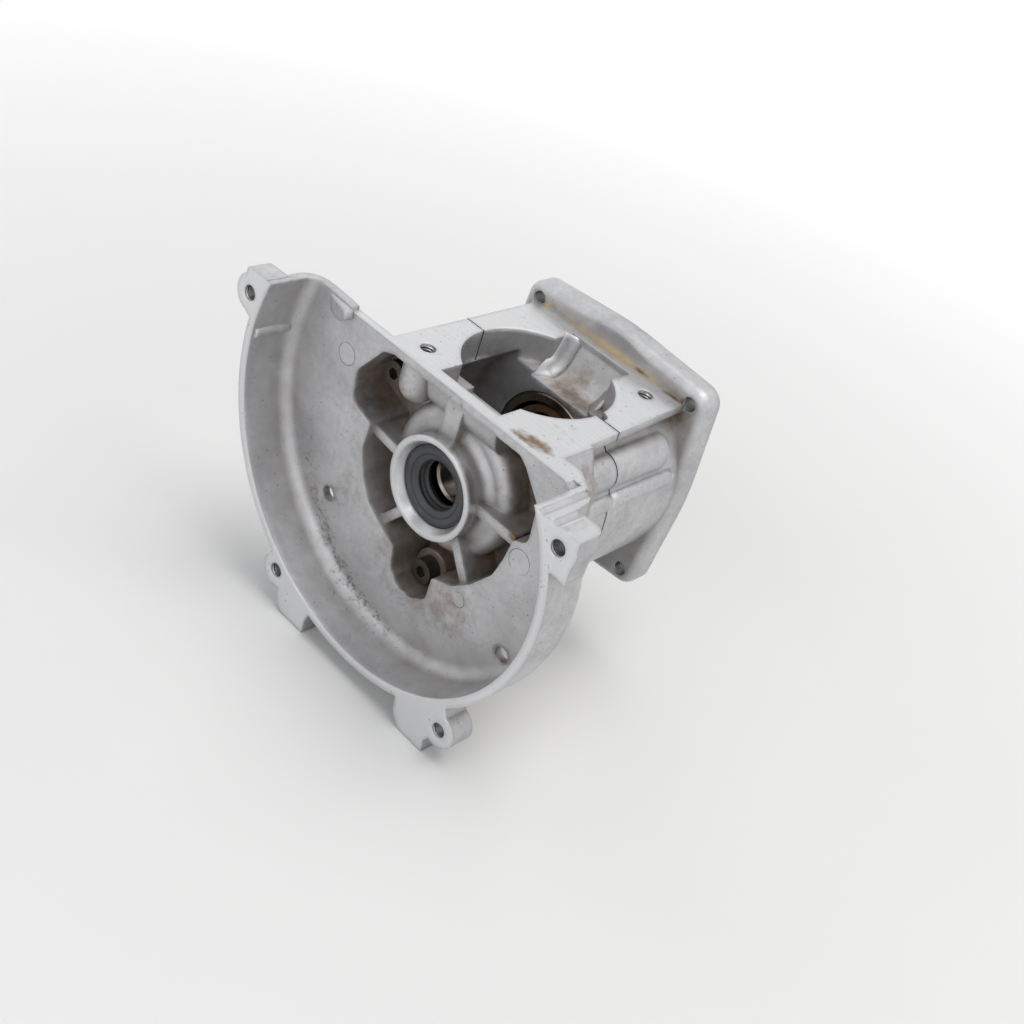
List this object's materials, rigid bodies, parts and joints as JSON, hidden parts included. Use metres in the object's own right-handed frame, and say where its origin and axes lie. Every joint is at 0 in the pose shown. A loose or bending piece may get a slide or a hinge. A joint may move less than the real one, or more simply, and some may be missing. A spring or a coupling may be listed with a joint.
{
  "type": "engine crankcase",
  "caption": "Die-cast two-stroke engine crankcase: volute fan housing, crank chamber with ball bearings and shaft seals, cylinder deck and starter flange.",
  "frame": {"origin": "where the crank axis meets the cylinder axis, in the plane where the two halves part", "axes": "+Y along the crank axis from the fan side to the starter side, +Z along the cylinder axis away from the crank, +X towards the narrow side of the fan housing's volute seen from the fan side"},
  "size_m": [0.1208, 0.079, 0.0923],
  "materials": {
    "cast_aluminium": "as-cast satin with oil stains",
    "gasket_fibre": "dark fibre gasket sheet",
    "screw_steel": "dull plated steel",
    "dowel_steel": "rolled steel",
    "seal_rubber": "black moulded rubber",
    "spring_steel": "coiled wire",
    "bearing_steel": "ground",
    "ball_steel": "polished",
    "cage_plastic": "moulded"
  },
  "bodies": {
    "housing": {"front_case": "cast_aluminium", "rear_case": "cast_aluminium", "case_gasket": "gasket_fibre", "case_screws": "screw_steel", "left_dowel": "dowel_steel", "right_dowel": "dowel_steel", "front_seal": "seal_rubber", "front_seal_spring": "spring_steel", "rear_seal": "seal_rubber", "rear_seal_spring": "spring_steel", "front_outer_race": "bearing_steel", "rear_outer_race": "bearing_steel"},
    "front_race": {"front_inner_race": "bearing_steel"},
    "rear_race": {"rear_inner_race": "bearing_steel"},
    "front_balls": {"front_cage": "cage_plastic", "front_ball_1": "ball_steel", "front_ball_2": "ball_steel", "front_ball_3": "ball_steel", "front_ball_4": "ball_steel", "front_ball_5": "ball_steel", "front_ball_6": "ball_steel", "front_ball_7": "ball_steel"},
    "rear_balls": {"rear_cage": "cage_plastic", "rear_ball_1": "ball_steel", "rear_ball_2": "ball_steel", "rear_ball_3": "ball_steel", "rear_ball_4": "ball_steel", "rear_ball_5": "ball_steel", "rear_ball_6": "ball_steel", "rear_ball_7": "ball_steel"}
  },
  "joints": [
    {"name": "front_race_spin", "type": "hinge", "parent": "housing", "child": "front_race", "pos_m": [0, -0.0151, 0], "axis": [0, 1, 0], "continuous": true},
    {"name": "front_balls_spin", "type": "hinge", "parent": "housing", "child": "front_balls", "pos_m": [0, -0.0151, 0], "axis": [0, 1, 0], "continuous": true},
    {"name": "rear_race_spin", "type": "hinge", "parent": "housing", "child": "rear_race", "pos_m": [0, 0.0173, 0], "axis": [0, 1, 0], "continuous": true},
    {"name": "rear_balls_spin", "type": "hinge", "parent": "housing", "child": "rear_balls", "pos_m": [0, 0.0173, 0], "axis": [0, 1, 0], "continuous": true}
  ],
  "couplings": [
    {"joint": "front_balls_spin", "follows": "front_race_spin", "ratio": 0.36471},
    {"joint": "rear_balls_spin", "follows": "rear_race_spin", "ratio": 0.36471}
  ]
}
